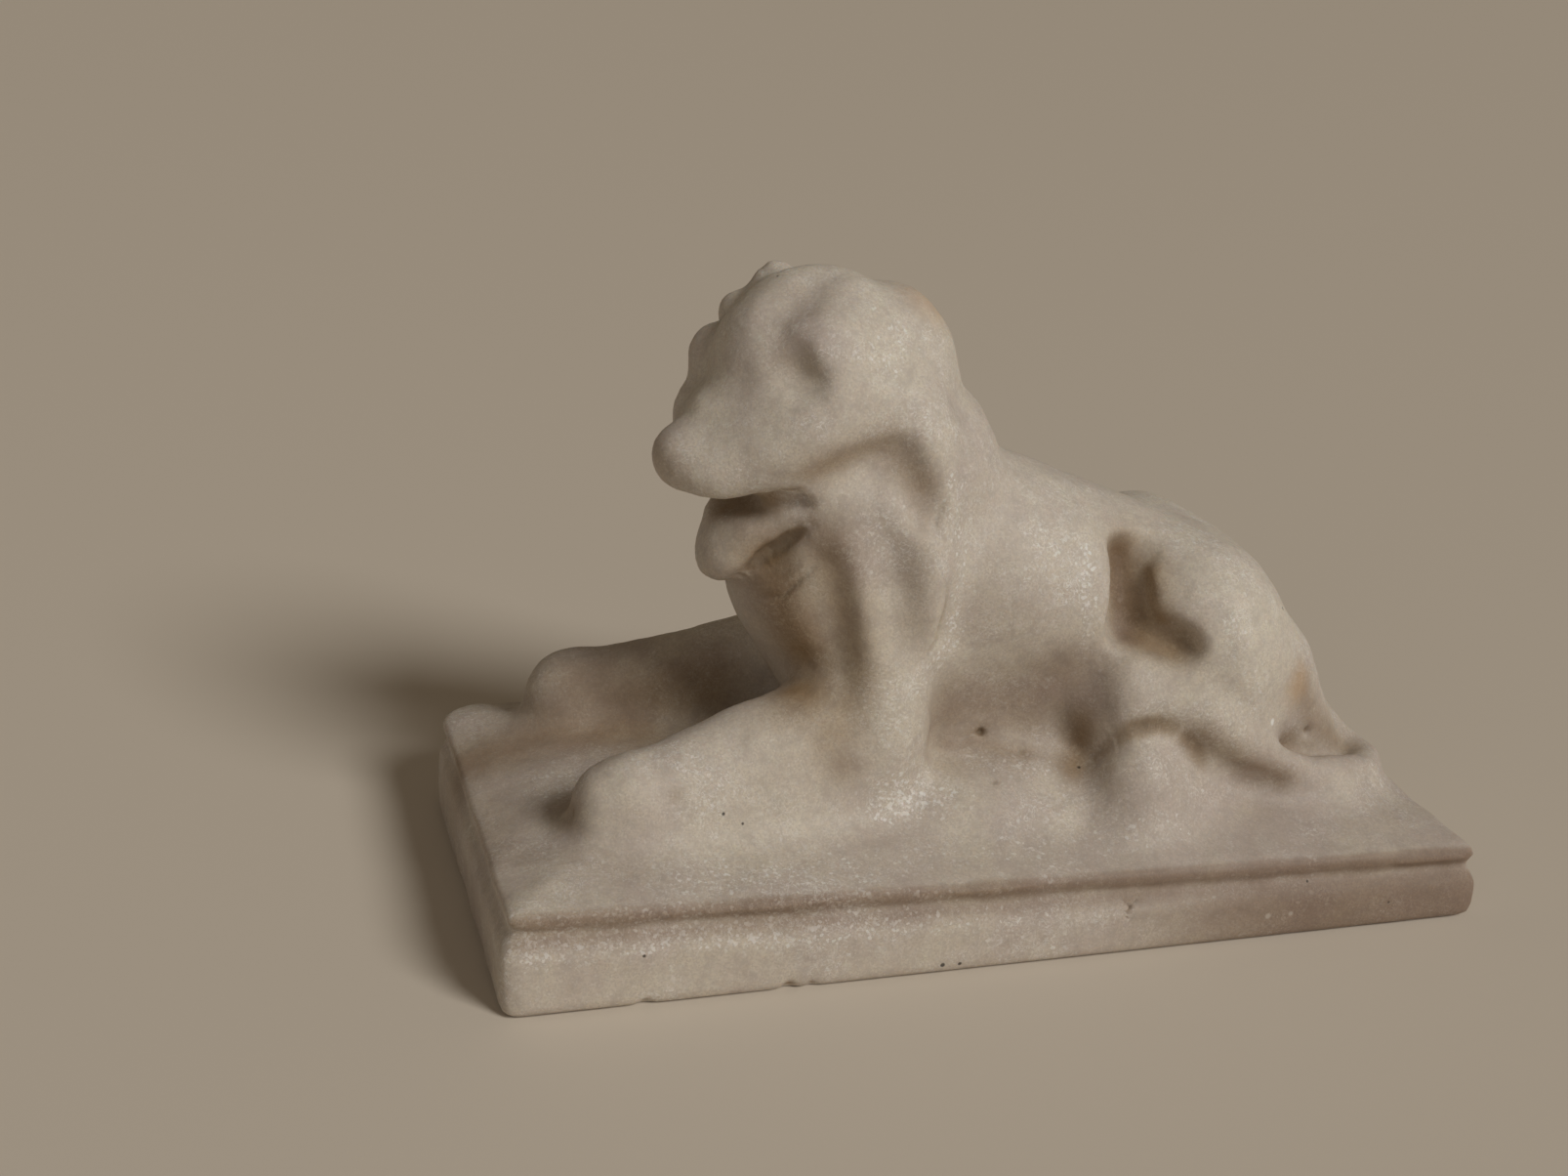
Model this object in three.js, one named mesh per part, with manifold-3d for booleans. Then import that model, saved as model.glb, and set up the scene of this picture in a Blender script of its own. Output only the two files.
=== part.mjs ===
// A lion lying on a rectangular plinth, carved from one block of alabaster and much worn.
// Lengths are millimetres. +Z is up, the lion looks along -X, and its left flank faces -Y.
// The stone is described as a field of signed distances, with the forms melted into each other
// as wear melts them. The field's zero surface is then meshed, thinned and cut flat underneath.

import * as THREE from 'three';
import { mergeVertices } from 'three/addons/utils/BufferGeometryUtils.js';
import Module from 'manifold-3d';

// Plinth
const PLINTH_LENGTH = 160;
const PLINTH_WIDTH = 79;
const LIP_HEIGHT_FRONT = 14.4;
const LIP_HEIGHT_REAR = 10;
const LIP_THICKNESS = 2;
const GROOVE_HEIGHT = 1.5;
const GROOVE_DEPTH = 1.6;
const BASE_OVERHANG = 0.4;
const BASE_ARRIS = 3.6;
const HEEL_RADIUS = 1.6;
const CORNER_RADIUS = 2;
const WORN_CORNER_RADIUS = 9;
const FIELD_HEIGHT = 20.5;
const FIELD_SLOPE = 0.24;
const FIELD_WEAR = 3;
const EDGE_WEAR = 1.8;
const GROOVE_FILLET = 1;
const UNDERCUT = 2.5;

// Lion. Landmarks count in eightieths of its height above the field.
const LION_HEIGHT = 80;
const LION_OFFSET = 1;
const HEAD_TURN = 12;
const FOOT_FILLET = 6;

// Mesh
const GRID_STEP = 1.6;
const LIP_STEP = 1.1;
const TRIANGLE_BUDGET = 9400;
const PROBE = 0.05;
const PULL_PASSES = 2;
const LEAST_STEEPNESS = 0.1;
const SLIT_FILL = -0.01;
const LEAST_FACE_TURN = 0.3;
const LEAST_FACE_WIDTH = 0.06;
const LEAST_DETERMINANT = 1e-4;
const EDGE_LENGTH_COST = 1e-4;
const SAME_POINT = 1e-5;

const unit = LION_HEIGHT / 80;
const at = (x, y, z) => [x * unit, LION_OFFSET + y * unit, FIELD_HEIGHT + z * unit];
const radians = (degrees) => degrees * Math.PI / 180;
const length = (x, y, z) => Math.sqrt(x * x + y * y + z * z);

// Shapes give the signed distance from a point, negative inside.

function ellipsoid(centre, radii, turn = 0, tilt = 0) {
  const [cx, cy, cz] = centre;
  const [rx, ry, rz] = radii.map((r) => r * unit);
  const [ct, st] = [Math.cos(radians(turn)), Math.sin(radians(turn))];
  const [cl, sl] = [Math.cos(radians(tilt)), Math.sin(radians(tilt))];
  return (x, y, z) => {
    const dx = x - cx;
    const dy = y - cy;
    const dz = z - cz;
    const ax = dx * ct + dy * st;
    const ay = dy * ct - dx * st;
    const bx = ax * cl + dz * sl;
    const bz = dz * cl - ax * sl;
    const k0 = length(bx / rx, ay / ry, bz / rz);
    const k1 = length(bx / rx / rx, ay / ry / ry, bz / rz / rz);
    return k1 > 1e-9 ? k0 * (k0 - 1) / k1 : -Math.min(rx, ry, rz);
  };
}

function limb(points, radii) {
  const reach = radii.map((r) => r * unit);
  return (x, y, z) => {
    let nearest = Infinity;
    for (let i = 0; i + 1 < points.length; i += 1) {
      const [ax, ay, az] = points[i];
      const [bx, by, bz] = points[i + 1];
      const ex = bx - ax;
      const ey = by - ay;
      const ez = bz - az;
      const along = ((x - ax) * ex + (y - ay) * ey + (z - az) * ez) / (ex * ex + ey * ey + ez * ez);
      const t = Math.min(1, Math.max(0, along));
      const gap = length(x - ax - ex * t, y - ay - ey * t, z - az - ez * t);
      nearest = Math.min(nearest, gap - reach[i] * (1 - t) - reach[i + 1] * t);
    }
    return nearest;
  };
}

function melt(a, b, blend) {
  if (Math.abs(a - b) >= blend) return Math.min(a, b);
  const overlap = 1 - Math.abs(a - b) / blend;
  return Math.min(a, b) - overlap * overlap * blend / 4;
}

const stone = [];
const add = (shape, blend) => stone.push({ shape, blend: blend * unit, sign: 1 });
const carve = (shape, blend) => stone.push({ shape, blend: blend * unit, sign: -1 });

function lion(x, y, z) {
  let d = Infinity;
  for (const { shape, blend, sign } of stone) {
    const s = shape(x, y, z);
    d = sign > 0 ? melt(d, s, blend) : -melt(-d, s, blend);
  }
  return d;
}

function distance(x, y, z) {
  return Math.max(melt(lion(x, y, z), plinth(x, y, z), FOOT_FILLET), -UNDERCUT - z);
}

// Plinth: a field that falls away to a thin lip, a groove under it and a plain base.

function outline(x, y) {
  const worn = x < 0 && y > 0;
  const radius = worn ? WORN_CORNER_RADIUS : CORNER_RADIUS;
  const dx = Math.abs(x) - PLINTH_LENGTH / 2 + radius;
  const dy = Math.abs(y) - PLINTH_WIDTH / 2 + radius;
  const outside = length(Math.max(dx, 0), Math.max(dy, 0), 0);
  return outside + Math.min(Math.max(dx, dy), 0) - radius;
}

function heel(z) {
  const rise = Math.min(Math.max(HEEL_RADIUS - z, 0), HEEL_RADIUS);
  return HEEL_RADIUS - Math.sqrt(HEEL_RADIUS * HEEL_RADIUS - rise * rise);
}

const soften = (a, b, blend) => -melt(-a, -b, blend);

function plinth(x, y, z) {
  const along = Math.min(1, Math.max(0, x / PLINTH_LENGTH + 0.5));
  const lip = LIP_HEIGHT_FRONT + (LIP_HEIGHT_REAR - LIP_HEIGHT_FRONT) * along;
  const edge = outline(x, y);
  const slope = lip + LIP_THICKNESS - FIELD_SLOPE * edge;
  const field = melt(slope, FIELD_HEIGHT, FIELD_WEAR);
  const slab = soften(soften(edge, z - field, EDGE_WEAR), lip - z, EDGE_WEAR);
  const neck = Math.max(edge + GROOVE_DEPTH, z - lip - LIP_THICKNESS / 2);
  const wall = soften(edge - BASE_OVERHANG + heel(z), z - lip + GROOVE_HEIGHT, BASE_ARRIS);
  return melt(melt(slab, neck, GROOVE_FILLET), wall, GROOVE_FILLET);
}

// Trunk

const both = (form) => [-1, 1].forEach(form);

function carveTrunk() {
  add(limb([at(4, 0, 30), at(38, 0, 18.5)], [20, 18.5]), 10);
  add(ellipsoid(at(42, 0, 10), [17, 18, 20]), 6);
  add(limb([at(-4, 0, 8), at(22, 0, 8)], [15, 15]), 8);
  add(ellipsoid(at(4, 0, -2), [30, 28, 8.6]), 5);
}

// Haunches, with the hollow in front of each thigh and the foot that comes out below it

function carveHaunch(side) {
  add(ellipsoid(at(40, side * 10.5, 19.5), [15, 15.5, 19], 0, 24), 4);
  add(limb([at(52, side * 7, 9), at(66, side * 8, -7)], [12.5, 6.5]), 6);
  add(limb([at(25, side * 16.5, 12), at(42, side * 17.5, 6)], [9, 8.5]), 4);
  add(ellipsoid(at(24.5, side * 23.5, -6), [9, 9.8, 15.4]), 3);
  add(ellipsoid(at(32, side * 21, -3), [9, 7, 7]), 4);
  const hollow = [at(27, side * 13.2, 37.4), at(24.2, side * 13.4, 36.6), at(23.6, side * 18.4, 26.2)];
  carve(limb(hollow, [3, 3.6, 4.2]), 1.6);
  carve(limb([at(24.6, side * 20.2, 25.2), at(30, side * 23, 23.6)], [4.6, 4]), 1.6);
  const legEdge = [at(18, side * 22.8, 19), at(16, side * 23.8, 10), at(11.6, side * 26, 2.5)];
  carve(limb(legEdge, [1.8, 2.6, 2.4]), 4);
}

// Tail, down the rump and forward along the left side

function carveTail() {
  const root = [at(46, 0, 27), at(55.5, -0.5, 17.5), at(65, -2, 4.5), at(71, -8, -3)];
  const loop = [at(71, -8, -3), at(73, -13.5, -3.5), at(69.5, -18.5, -3), at(61, -22.5, -1.5)];
  const loopBed = [at(66, -3, -4), at(71, -8, -7), at(72, -13.5, -7.6), at(69, -18.5, -7), at(61, -21.5, -5)];
  const reachBed = [at(61, -21.5, -5), at(52, -21.5, -1), at(43.5, -21.5, 3.5), at(37, -20.5, 9)];
  const reach = [at(61, -22.5, -1.5), at(52, -24, 1.5), at(43.5, -24.5, 6), at(37, -23.5, 11)];
  const end = [at(37, -23.5, 11), at(31, -21.5, 15.5), at(24, -19, 17.5)];
  const underReach = [at(30, -28.6, 12.5), at(36.5, -29.4, 8), at(44, -28.6, 2), at(52, -26.6, -2)];
  carve(limb(underReach, [2, 2.8, 2.8, 1.6]), 3);
  add(limb(loopBed, [3, 3, 3, 3, 3]), 2);
  add(limb(reachBed, [3, 3.2, 3.4, 3.4]), 2);
  add(limb(root, [4, 3.4, 3, 2.8]), 2.5);
  add(limb(loop, [2.8, 2.6, 2.6, 2.6]), 2);
  add(limb(reach, [2.5, 2.5, 2.6, 2.8]), 2.4);
  add(limb(end, [2.8, 3.4, 4]), 5);
}

// Chest, neck and the mane that covers them

function carveMane() {
  add(limb([at(-18, 0, 44), at(-18.4, 0, 33), at(-13.8, 0, 23)], [20, 19.8, 18.5]), 6);
  add(ellipsoid(at(-4.5, 0, 51), [8.5, 14, 11]), 6);
  both((side) => {
    const rearLock = [at(-13, side * 17, 46), at(-12, side * 18, 37), at(-13.5, side * 17.5, 26)];
    add(limb(rearLock, [4, 4, 4]), 6);
    const frontLock = [at(-22.5, side * 15.5, 38), at(-21.5, side * 17, 28), at(-19.5, side * 17.5, 16)];
    add(limb(frontLock, [4, 4, 4]), 6);
    const lockEdge = [at(-20, side * 22.8, 43), at(-17, side * 23.2, 35.5), at(-15, side * 23.8, 28)];
    carve(limb(lockEdge, [2.2, 2.6, 2]), 5);
    const armEdge = [at(-28, side * 20.2, 38), at(-27, side * 21, 25), at(-26, side * 22.8, 14)];
    carve(limb(armEdge, [3.2, 4, 3.4]), 4);
  });
}

// Head, turned a little to the lion's left

const headCentre = [-20, 0];

function onHead(x, y, z) {
  const turn = radians(HEAD_TURN);
  const hx = x - headCentre[0];
  const px = headCentre[0] + hx * Math.cos(turn) - y * Math.sin(turn);
  const py = headCentre[1] + hx * Math.sin(turn) + y * Math.cos(turn);
  return at(px, py, z);
}

const lump = (centre, radii, tilt = 0) => ellipsoid(centre, radii, HEAD_TURN, tilt);

function carveHead() {
  add(lump(onHead(-21, 0, 60.5), [17.5, 17.5, 17.5]), 4);
  add(lump(onHead(-13.2, 0, 65.5), [9.8, 13.4, 12.4]), 3);
  add(lump(onHead(-24.4, 0, 71.5), [11.8, 12.5, 9.4]), 3);
  carve(limb([onHead(-15.4, -11, 80.5), onHead(-14.6, 0, 82.4), onHead(-13.8, 11, 80.5)], [3, 3.2, 3]), 3);
  add(lump(onHead(-31.5, 0, 67.5), [10.5, 11.5, 10.5]), 5);
  add(limb([onHead(-31, 0, 62), onHead(-40.6, 0, 57.2), onHead(-47, 0, 53.4)], [10.5, 7, 4.6]), 4);
  both((side) => {
    add(lump(onHead(-42, side * 4, 52), [8, 5.8, 5.8]), 3);
    add(lump(onHead(-33, side * 8.5, 56), [10, 8, 8]), 6);
    add(lump(onHead(-28, side * 11, 60), [8.5, 7, 10]), 5);
    add(lump(onHead(-29, side * 11.6, 70), [4, 3.6, 5]), 6);
    carve(limb([onHead(-39, side * 12.2, 71.5), onHead(-36.2, side * 14.2, 68)], [1.8, 2]), 5);
  });
  add(lump(onHead(-47.7, 0, 53.3), [4.4, 5, 4.6]), 2.5);
}

// Lower jaw, hanging open, with a tuft of mane under it

function carveJaw() {
  add(lump(onHead(-33.6, 0, 36.2), [6, 7.4, 5.4]), 2.5);
  both((side) => {
    const hinge = onHead(-27.6, side * 8.6, 45.4);
    add(limb([hinge, onHead(-33, side * 7.6, 44.4), onHead(-36.6, side * 4.6, 42)], [4.8, 4, 4.4]), 1.4);
  });
  add(lump(onHead(-38.6, 0, 39.4), [7.8, 7.4, 4.4], 50), 2);
  carve(lump(onHead(-43.5, 0, 45.8), [8, 12.5, 2.6], 4), 1.5);
  both((side) => {
    const mouth = onHead(-37.4, side * 11.4, 48.2);
    carve(limb([onHead(-40.5, side * 8, 47), mouth, onHead(-33.4, side * 13, 48.6)], [2.4, 1.9, 1.4]), 1.2);
  });
}

// Lobes of mane around the face and behind the cheeks

function carveLobes() {
  add(lump(onHead(-37.5, 11, 65.5), [4.5, 3.6, 5.3]), 2.5);
  add(lump(onHead(-40, 10.5, 57.5), [4.5, 3, 4.5]), 2.5);
  add(lump(onHead(-32, 14.5, 71), [3.5, 3, 3.5]), 2);
  add(lump(onHead(-27, 13.4, 74), [3, 3, 4.5]), 2);
  both((side) => {
    add(lump(onHead(-15.5, side * 15, 55), [6.5, 6.5, 11], 16), 5);
    const cheekEdge = [onHead(-32, side * 18.8, 53), onHead(-25.5, side * 19.2, 54.6)];
    carve(limb(cheekEdge, [2, 2.4]), 5);
    carve(limb([onHead(-22, side * 20.8, 55.8), onHead(-17.6, side * 22.8, 47.5)], [3, 2.6]), 3);
  });
  carve(limb([onHead(-28.5, -4, 82), onHead(-34.5, -7, 79), onHead(-40, -8, 75)], [2.4, 2.4, 1.6]), 4);
}

// Forelegs, stretched out in front, with the elbows set close behind the chest

function carveForeleg(side, spread) {
  const shoulder = at(-20, side * 14, 11.5);
  const forearm = at(-40, side * (16 + spread / 2), 7.5);
  const wrist = at(-56, side * (19 + spread), 4);
  add(limb([shoulder, forearm, wrist], [9, 7.2, 5.8]), 4);
  const bankMiddle = at(-40, side * (17.5 + spread / 2), 0);
  add(limb([at(-22, side * 15, 2), bankMiddle, at(-54, side * (20 + spread), 0)], [9, 8.6, 6.4]), 6);
  add(ellipsoid(at(-59, side * (19.5 + spread), 3), [7.3, 6.6, 7]), 2.5);
  add(ellipsoid(at(-15.5, side * 17, 11), [6, 6.5, 13]), 4);
}

carveTrunk();
both(carveHaunch);
carveTail();
carveMane();
carveHead();
carveJaw();
carveLobes();
carveForeleg(-1, 0);
carveForeleg(1, 4);

// Meshing: one vertex for each cell that the surface crosses, pulled onto the surface.

function gridLines(bounds, steps) {
  const lines = [bounds[0]];
  steps.forEach((step, band) => {
    const [low, high] = [bounds[band], bounds[band + 1]];
    const count = Math.ceil((high - low) / step);
    for (let i = 1; i <= count; i += 1) lines.push(low + (high - low) * i / count);
  });
  return lines;
}

const CORNERS = Array.from({ length: 8 }, (_, c) => [c & 1, (c >> 1) & 1, c >> 2]);
const AXIS_BITS = CORNERS[0].map((_, axis) => 1 << axis);
const EDGES = CORNERS.flatMap((_, a) => AXIS_BITS.filter((bit) => !(a & bit)).map((bit) => [a, a | bit]));
const CUBE = [...CORNERS.keys()];
const SIDES = AXIS_BITS.flatMap((bit) => [0, bit].map((half) => CUBE.filter((c) => (c & bit) === half)));

// A cell or side is plain when its solid corners hang together, and so do its empty ones.

function isPlain(mask, corners) {
  const regions = [...CUBE];
  for (let pass = 0; pass < corners.length; pass += 1) {
    for (const [a, b] of EDGES) {
      if (!corners.includes(a) || !corners.includes(b)) continue;
      if (((mask >> a) & 1) !== ((mask >> b) & 1)) continue;
      regions[a] = Math.min(regions[a], regions[b]);
      regions[b] = regions[a];
    }
  }
  return new Set(corners.map((c) => regions[c])).size <= 2;
}

const PLAIN = Array.from(
  { length: 1 << CORNERS.length },
  (_, mask) => [CUBE, ...SIDES].every((corners) => isPlain(mask, corners)),
);

// Slits thinner than a cell are filled, so that one sheet of surface crosses each cell.

function fillSlits(values, cells, cornersOf) {
  for (let changed = true; changed;) {
    changed = false;
    for (const cell of cells) {
      const nodes = cornersOf(cell);
      const mask = nodes.reduce((bits, n, c) => bits | (values[n] < 0 ? 1 << c : 0), 0);
      if (PLAIN[mask]) continue;
      const empty = nodes.filter((n) => values[n] >= 0);
      const nearest = empty.reduce((a, b) => (values[b] < values[a] ? b : a));
      values[nearest] = SLIT_FILL;
      changed = true;
    }
  }
}

function meshSurface(xs, ys, zs) {
  const [nx, ny, nz] = [xs.length, ys.length, zs.length];
  const node = (i, j, k) => (k * ny + j) * nx + i;
  const values = new Float64Array(nx * ny * nz);
  for (let k = 0; k < nz; k += 1) {
    for (let j = 0; j < ny; j += 1) {
      for (let i = 0; i < nx; i += 1) values[node(i, j, k)] = distance(xs[i], ys[j], zs[k]);
    }
  }
  const offsets = CORNERS.map(([i, j, k]) => node(i, j, k));
  const cornersOf = (cell) => offsets.map((offset) => cell + offset);
  const cells = [];
  for (let k = 0; k + 1 < nz; k += 1) {
    for (let j = 0; j + 1 < ny; j += 1) {
      for (let i = 0; i + 1 < nx; i += 1) {
        if (Math.abs(values[node(i, j, k)]) < GRID_STEP * 4) cells.push(node(i, j, k));
      }
    }
  }
  fillSlits(values, cells, cornersOf);
  const cellVertex = new Int32Array(nx * ny * nz).fill(-1);
  const points = [];
  for (let k = 0; k + 1 < nz; k += 1) {
    for (let j = 0; j + 1 < ny; j += 1) {
      for (let i = 0; i + 1 < nx; i += 1) {
        const sum = [0, 0, 0];
        let hits = 0;
        for (const [a, b] of EDGES) {
          const [ai, aj, ak] = CORNERS[a];
          const [bi, bj, bk] = CORNERS[b];
          const va = values[node(i + ai, j + aj, k + ak)];
          const vb = values[node(i + bi, j + bj, k + bk)];
          if ((va < 0) === (vb < 0)) continue;
          const t = va / (va - vb);
          sum[0] += xs[i + ai] + (xs[i + bi] - xs[i + ai]) * t;
          sum[1] += ys[j + aj] + (ys[j + bj] - ys[j + aj]) * t;
          sum[2] += zs[k + ak] + (zs[k + bk] - zs[k + ak]) * t;
          hits += 1;
        }
        if (!hits) continue;
        cellVertex[node(i, j, k)] = points.length / 3;
        points.push(sum[0] / hits, sum[1] / hits, sum[2] / hits);
      }
    }
  }
  const triangles = [];
  const steps = [[1, 0, 0], [0, 1, 0], [0, 0, 1]];
  for (let k = 1; k + 1 < nz; k += 1) {
    for (let j = 1; j + 1 < ny; j += 1) {
      for (let i = 1; i + 1 < nx; i += 1) {
        const here = values[node(i, j, k)];
        steps.forEach((step, axis) => {
          const next = values[node(i + step[0], j + step[1], k + step[2])];
          if ((here < 0) === (next < 0)) return;
          const [u, v] = [steps[(axis + 1) % 3], steps[(axis + 2) % 3]];
          const ring = [[0, 0], [1, 0], [1, 1], [0, 1]].map(([s, t]) => cellVertex[node(
            i - s * u[0] - t * v[0], j - s * u[1] - t * v[1], k - s * u[2] - t * v[2])]);
          if (here >= 0) ring.reverse();
          triangles.push(ring[0], ring[1], ring[2], ring[0], ring[2], ring[3]);
        });
      }
    }
  }
  pullOntoSurface(points);
  return { points, triangles };
}

function slopeAt(x, y, z) {
  return [
    (distance(x + PROBE, y, z) - distance(x - PROBE, y, z)) / (2 * PROBE),
    (distance(x, y + PROBE, z) - distance(x, y - PROBE, z)) / (2 * PROBE),
    (distance(x, y, z + PROBE) - distance(x, y, z - PROBE)) / (2 * PROBE),
  ];
}

function pullOntoSurface(points) {
  for (let i = 0; i < points.length; i += 3) {
    for (let pass = 0; pass < PULL_PASSES; pass += 1) {
      const here = points.slice(i, i + 3);
      const d = distance(...here);
      const g = slopeAt(...here);
      const steepness = Math.max(g[0] * g[0] + g[1] * g[1] + g[2] * g[2], LEAST_STEEPNESS);
      const reach = Math.min(GRID_STEP / 2, Math.max(-GRID_STEP / 2, d / steepness));
      for (let c = 0; c < 3; c += 1) points[i + c] = here[c] - g[c] * reach;
    }
  }
}

// Thinning: the edge whose loss changes the form least is closed first, by quadric error.

function thin({ points, triangles }, budget) {
  const count = points.length / 3;
  const faces = [];
  const facesOf = Array.from({ length: count }, () => new Set());
  const quadric = new Float64Array(count * 10);
  const stamp = new Float64Array(count);
  const corner = (v) => [points[3 * v], points[3 * v + 1], points[3 * v + 2]];
  const normalOf = (a, b, c) => {
    const [u, v] = [[0, 1, 2].map((i) => b[i] - a[i]), [0, 1, 2].map((i) => c[i] - a[i])];
    return [u[1] * v[2] - u[2] * v[1], u[2] * v[0] - u[0] * v[2], u[0] * v[1] - u[1] * v[0]];
  };
  for (let t = 0; t < triangles.length; t += 3) {
    const face = triangles.slice(t, t + 3);
    const n = normalOf(...face.map(corner));
    const size = length(...n);
    if (size > 0) {
      const [a, b, c] = n.map((v) => v / size);
      const p = corner(face[0]);
      const d = -(a * p[0] + b * p[1] + c * p[2]);
      const terms = [a * a, a * b, a * c, a * d, b * b, b * c, b * d, c * c, c * d, d * d];
      for (const v of face) terms.forEach((q, i) => { quadric[10 * v + i] += q * size; });
    }
    for (const v of face) facesOf[v].add(faces.length);
    faces.push(face);
  }
  const error = (q, [x, y, z]) => q[0] * x * x + 2 * q[1] * x * y + 2 * q[2] * x * z + 2 * q[3] * x
    + q[4] * y * y + 2 * q[5] * y * z + 2 * q[6] * y + q[7] * z * z + 2 * q[8] * z + q[9];
  const bestPlace = (q, a, b) => {
    const middle = a.map((v, i) => (v + b[i]) / 2);
    const choices = [a, b, middle];
    const m00 = q[4] * q[7] - q[5] * q[5];
    const m01 = q[2] * q[5] - q[1] * q[7];
    const m02 = q[1] * q[5] - q[2] * q[4];
    const det = q[0] * m00 + q[1] * m01 + q[2] * m02;
    const scale = q[0] + q[4] + q[7];
    if (det > LEAST_DETERMINANT * scale ** 3) {
      const m11 = q[0] * q[7] - q[2] * q[2];
      const m12 = q[1] * q[2] - q[0] * q[5];
      const m22 = q[0] * q[4] - q[1] * q[1];
      const best = [
        -(m00 * q[3] + m01 * q[6] + m02 * q[8]) / det,
        -(m01 * q[3] + m11 * q[6] + m12 * q[8]) / det,
        -(m02 * q[3] + m12 * q[6] + m22 * q[8]) / det,
      ];
      if (Math.hypot(...best.map((v, i) => v - middle[i])) < GRID_STEP * 2) choices.push(best);
    }
    const costs = choices.map((p) => error(q, p));
    const low = costs.indexOf(Math.min(...costs));
    return { place: choices[low], cost: costs[low] };
  };
  const heap = [];
  const rise = (item) => {
    let i = heap.push(item) - 1;
    while (i > 0) {
      const up = (i - 1) >> 1;
      if (heap[up].cost <= item.cost) break;
      heap[i] = heap[up];
      i = up;
    }
    heap[i] = item;
  };
  const take = () => {
    const first = heap[0];
    const item = heap.pop();
    if (heap.length) {
      let i = 0;
      for (;;) {
        let child = 2 * i + 1;
        if (child >= heap.length) break;
        if (child + 1 < heap.length && heap[child + 1].cost < heap[child].cost) child += 1;
        if (heap[child].cost >= item.cost) break;
        heap[i] = heap[child];
        i = child;
      }
      heap[i] = item;
    }
    return first;
  };
  const consider = (a, b) => {
    const q = Array.from({ length: 10 }, (_, i) => quadric[10 * a + i] + quadric[10 * b + i]);
    const [pa, pb] = [corner(a), corner(b)];
    const { place, cost } = bestPlace(q, pa, pb);
    const span = Math.hypot(...pa.map((v, i) => v - pb[i]));
    rise({ a, b, place, cost: cost + EDGE_LENGTH_COST * span, seal: stamp[a] + stamp[b] });
  };
  const ringOf = (v) => {
    const ring = new Set();
    for (const f of facesOf[v]) faces[f].forEach((w) => ring.add(w));
    ring.delete(v);
    return ring;
  };
  for (const face of faces) {
    for (let i = 0; i < 3; i += 1) {
      const [a, b] = [face[i], face[(i + 1) % 3]];
      if (a < b) consider(a, b);
    }
  }
  const flips = (v, other, place) => {
    for (const f of facesOf[v]) {
      if (faces[f].includes(other)) continue;
      const before = faces[f].map(corner);
      const after = faces[f].map((w) => (w === v ? place : corner(w)));
      const [n, m] = [normalOf(...before), normalOf(...after)];
      const turn = n[0] * m[0] + n[1] * m[1] + n[2] * m[2];
      if (turn < LEAST_FACE_TURN * length(...n) * length(...m)) return true;
      const longest = Math.max(...[0, 1, 2].map((i) => Math.hypot(
        ...after[i].map((c, axis) => c - after[(i + 1) % 3][axis]))));
      if (length(...m) < LEAST_FACE_WIDTH * longest * longest) return true;
    }
    return false;
  };
  let left = faces.length;
  while (left > budget && heap.length) {
    const { a, b, place, seal } = take();
    if (stamp[a] < 0 || stamp[b] < 0 || stamp[a] + stamp[b] !== seal) continue;
    const [ringA, ringB] = [ringOf(a), ringOf(b)];
    const shared = [...ringA].filter((v) => ringB.has(v));
    if (shared.length !== 2 || flips(a, b, place) || flips(b, a, place)) continue;
    for (const f of [...facesOf[b]]) {
      if (faces[f].includes(a)) {
        for (const v of faces[f]) facesOf[v].delete(f);
        faces[f] = null;
        left -= 1;
      } else {
        faces[f] = faces[f].map((v) => (v === b ? a : v));
        facesOf[a].add(f);
      }
    }
    for (let i = 0; i < 3; i += 1) points[3 * a + i] = place[i];
    for (let i = 0; i < 10; i += 1) quadric[10 * a + i] += quadric[10 * b + i];
    stamp[b] = -Infinity;
    stamp[a] += 1;
    for (const v of ringOf(a)) consider(a, v);
  }
  return { points, faces: faces.filter(Boolean) };
}

const wasm = await Module();
wasm.setup();

function solidOf(geometry) {
  const plain = new THREE.BufferGeometry();
  plain.setAttribute('position', geometry.attributes.position);
  plain.setIndex(geometry.index);
  const merged = mergeVertices(plain, SAME_POINT);
  return new wasm.Manifold(new wasm.Mesh({
    numProp: 3,
    vertProperties: Float32Array.from(merged.attributes.position.array),
    triVerts: Uint32Array.from(merged.index.array),
  }));
}

function geometryOf(solid) {
  const { vertProperties, triVerts } = solid.getMesh();
  const geometry = new THREE.BufferGeometry();
  geometry.setAttribute('position', new THREE.BufferAttribute(vertProperties, 3));
  geometry.setIndex(new THREE.BufferAttribute(triVerts, 1));
  return geometry;
}

function carvedStone() {
  const reach = GRID_STEP * 2;
  const half = [
    Math.max(PLINTH_LENGTH / 2, LION_HEIGHT) + reach,
    Math.max(PLINTH_WIDTH / 2, LION_HEIGHT / 2) + reach,
  ];
  const lipZone = [LIP_HEIGHT_REAR - GROOVE_HEIGHT - LIP_STEP * 2, FIELD_HEIGHT];
  const rough = meshSurface(
    gridLines([-half[0], half[0]], [GRID_STEP]),
    gridLines([-half[1], half[1]], [GRID_STEP]),
    gridLines(
      [-UNDERCUT - reach, lipZone[0], lipZone[1], FIELD_HEIGHT + LION_HEIGHT + reach * 2],
      [GRID_STEP, LIP_STEP, GRID_STEP],
    ),
  );
  const thinned = thin(rough, TRIANGLE_BUDGET);
  const geometry = new THREE.BufferGeometry();
  geometry.setAttribute('position', new THREE.Float32BufferAttribute(thinned.points, 3));
  geometry.setIndex(thinned.faces.flat());
  return geometry;
}

// The stone stands on z = 0: what hangs below is cut away, and its box is centred on the origin.

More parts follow.
